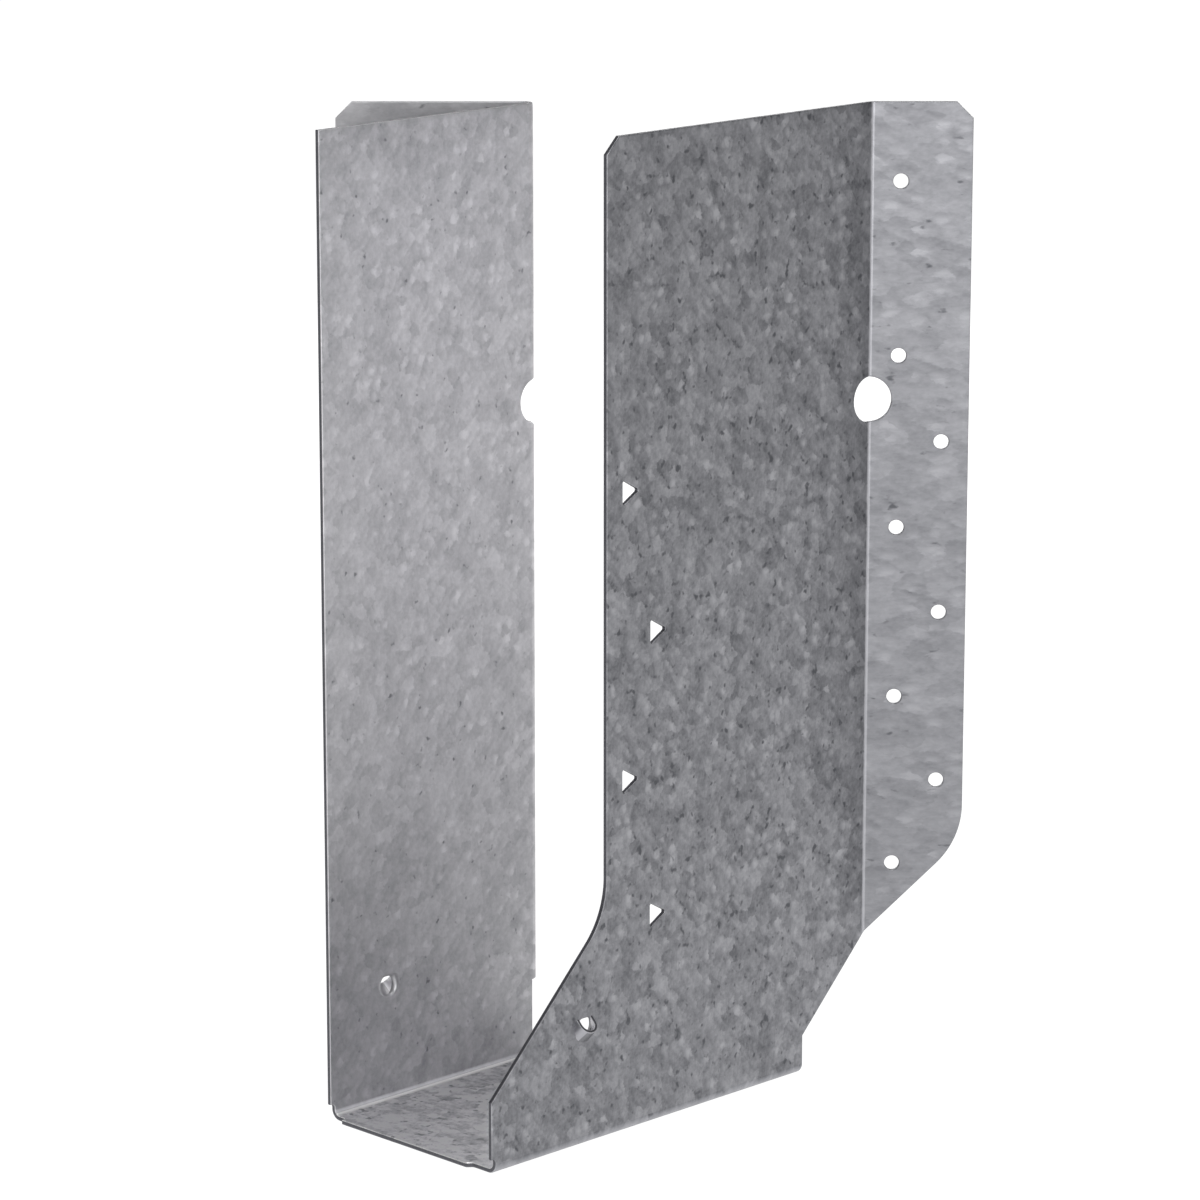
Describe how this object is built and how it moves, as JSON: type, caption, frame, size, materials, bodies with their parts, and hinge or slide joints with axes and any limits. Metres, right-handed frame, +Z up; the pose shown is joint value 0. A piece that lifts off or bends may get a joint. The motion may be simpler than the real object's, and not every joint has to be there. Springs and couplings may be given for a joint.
{
  "type": "joist hanger",
  "caption": "Skewed face-mount joist hanger folded from galvanised sheet: its seat, side walls and nailing flanges carry a joist at an angle to the header.",
  "frame": {"origin": "where the joist's centre line meets the header face, level with the underside of the seat", "axes": "+Y into the header, square to its face; +Z up along the walls; +X along the header, towards the open side of the skew"},
  "size_m": [0.1851, 0.1095, 0.2855],
  "materials": {
    "galvanised_steel": "hot-dip galvanised sheet with a faint spangle"
  },
  "bodies": {
    "root": {"hanger": "galvanised_steel"}
  },
  "joints": []
}
